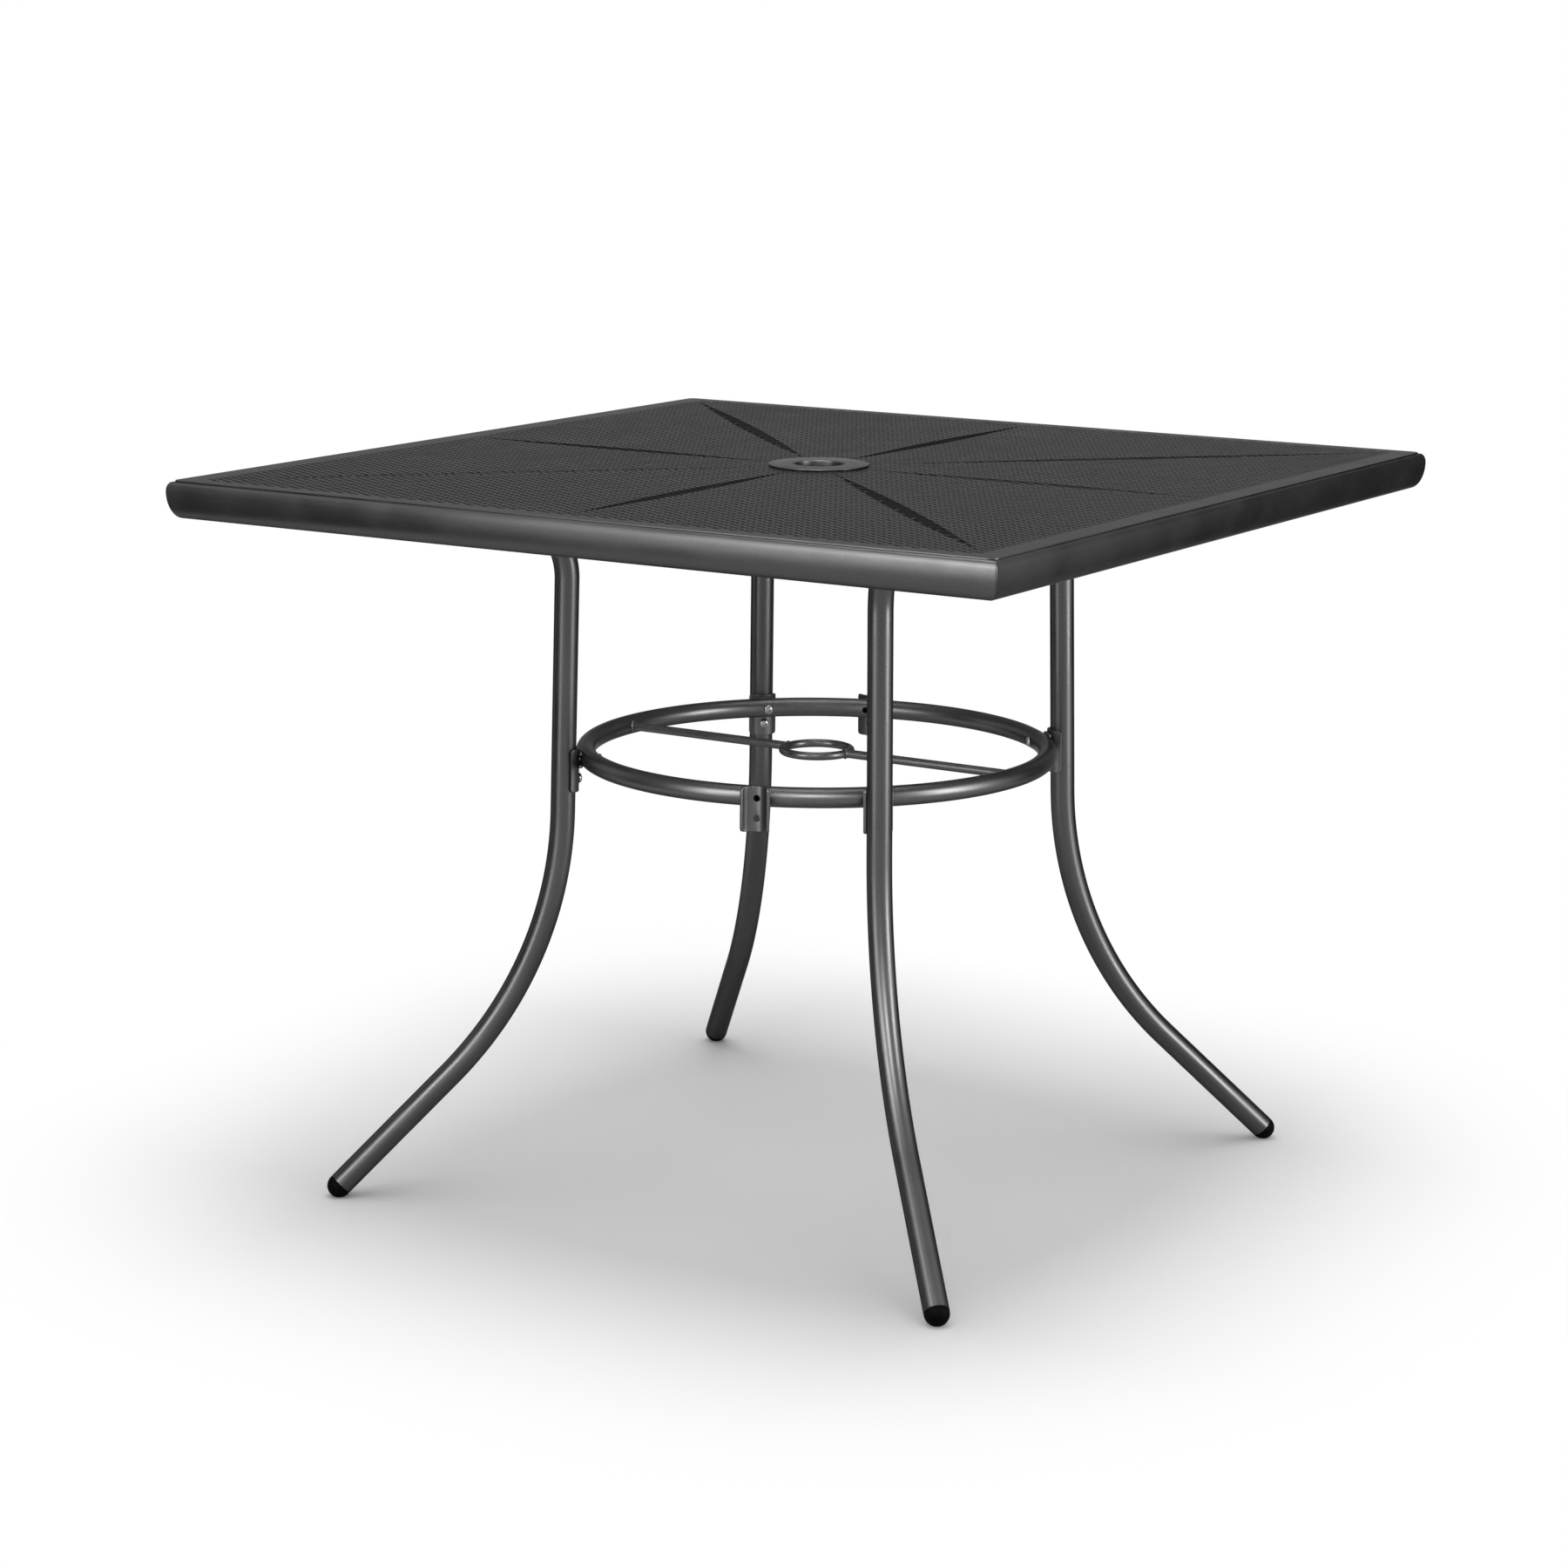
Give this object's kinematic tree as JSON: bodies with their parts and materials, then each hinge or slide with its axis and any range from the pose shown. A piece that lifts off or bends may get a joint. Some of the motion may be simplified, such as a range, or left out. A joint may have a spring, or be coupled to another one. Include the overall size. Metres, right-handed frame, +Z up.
{
  "type": "garden table",
  "caption": "Square metal patio table with a perforated top, rolled rim and umbrella hole, on bent tubular legs tied by a bolted stretcher ring with a crossbar and umbrella ring",
  "frame": {"origin": "on the floor under the middle of the square top", "axes": "+Z up, X and Y along the sides of the top, front at -Y, legs on the diagonals, crossbar along X"},
  "size_m": [0.94, 0.94, 0.7523],
  "materials": {
    "powder_coat": "satin powder coat",
    "hub_powder_coat": "satin powder coat",
    "black_plastic": "matt",
    "bolt_steel": "dark coated steel"
  },
  "bodies": {
    "root": {"corner_gusset_back_left": "powder_coat", "corner_gusset_back_right": "powder_coat", "corner_gusset_front_left": "powder_coat", "corner_gusset_front_right": "powder_coat", "crossbar_left": "powder_coat", "crossbar_right": "powder_coat", "foot_cap_back_left": "black_plastic", "foot_cap_back_right": "black_plastic", "foot_cap_front_left": "black_plastic", "foot_cap_front_right": "black_plastic", "leg_back_left": "powder_coat", "leg_back_right": "powder_coat", "leg_bolt_back_left_1": "bolt_steel", "leg_bolt_back_left_2": "bolt_steel", "leg_bolt_back_right_1": "bolt_steel", "leg_bolt_back_right_2": "bolt_steel", "leg_bolt_front_left_1": "bolt_steel", "leg_bolt_front_left_2": "bolt_steel", "leg_bolt_front_right_1": "bolt_steel", "leg_bolt_front_right_2": "bolt_steel", "leg_front_left": "powder_coat", "leg_front_right": "powder_coat", "leg_plug_back_left": "black_plastic", "leg_plug_back_right": "black_plastic", "leg_plug_front_left": "black_plastic", "leg_plug_front_right": "black_plastic", "rim_rail_back": "powder_coat", "rim_rail_front": "powder_coat", "rim_rail_left": "powder_coat", "rim_rail_right": "powder_coat", "ring_bolt_back_left_lower": "bolt_steel", "ring_bolt_back_left_upper": "bolt_steel", "ring_bolt_back_right_lower": "bolt_steel", "ring_bolt_back_right_upper": "bolt_steel", "ring_bolt_front_left_lower": "bolt_steel", "ring_bolt_front_left_upper": "bolt_steel", "ring_bolt_front_right_lower": "bolt_steel", "ring_bolt_front_right_upper": "bolt_steel", "ring_saddle_back_left": "powder_coat", "ring_saddle_back_right": "powder_coat", "ring_saddle_front_left": "powder_coat", "ring_saddle_front_right": "powder_coat", "ring_saddle_spare_back": "powder_coat", "ring_saddle_spare_front": "powder_coat", "stretcher_ring": "powder_coat", "top_panel": "powder_coat", "umbrella_plate": "hub_powder_coat", "umbrella_ring": "powder_coat", "umbrella_sleeve": "powder_coat", "weld_nut_back_left_1": "bolt_steel", "weld_nut_back_left_2": "bolt_steel", "weld_nut_back_right_1": "bolt_steel", "weld_nut_back_right_2": "bolt_steel", "weld_nut_front_left_1": "bolt_steel", "weld_nut_front_left_2": "bolt_steel", "weld_nut_front_right_1": "bolt_steel", "weld_nut_front_right_2": "bolt_steel"}
  },
  "joints": []
}
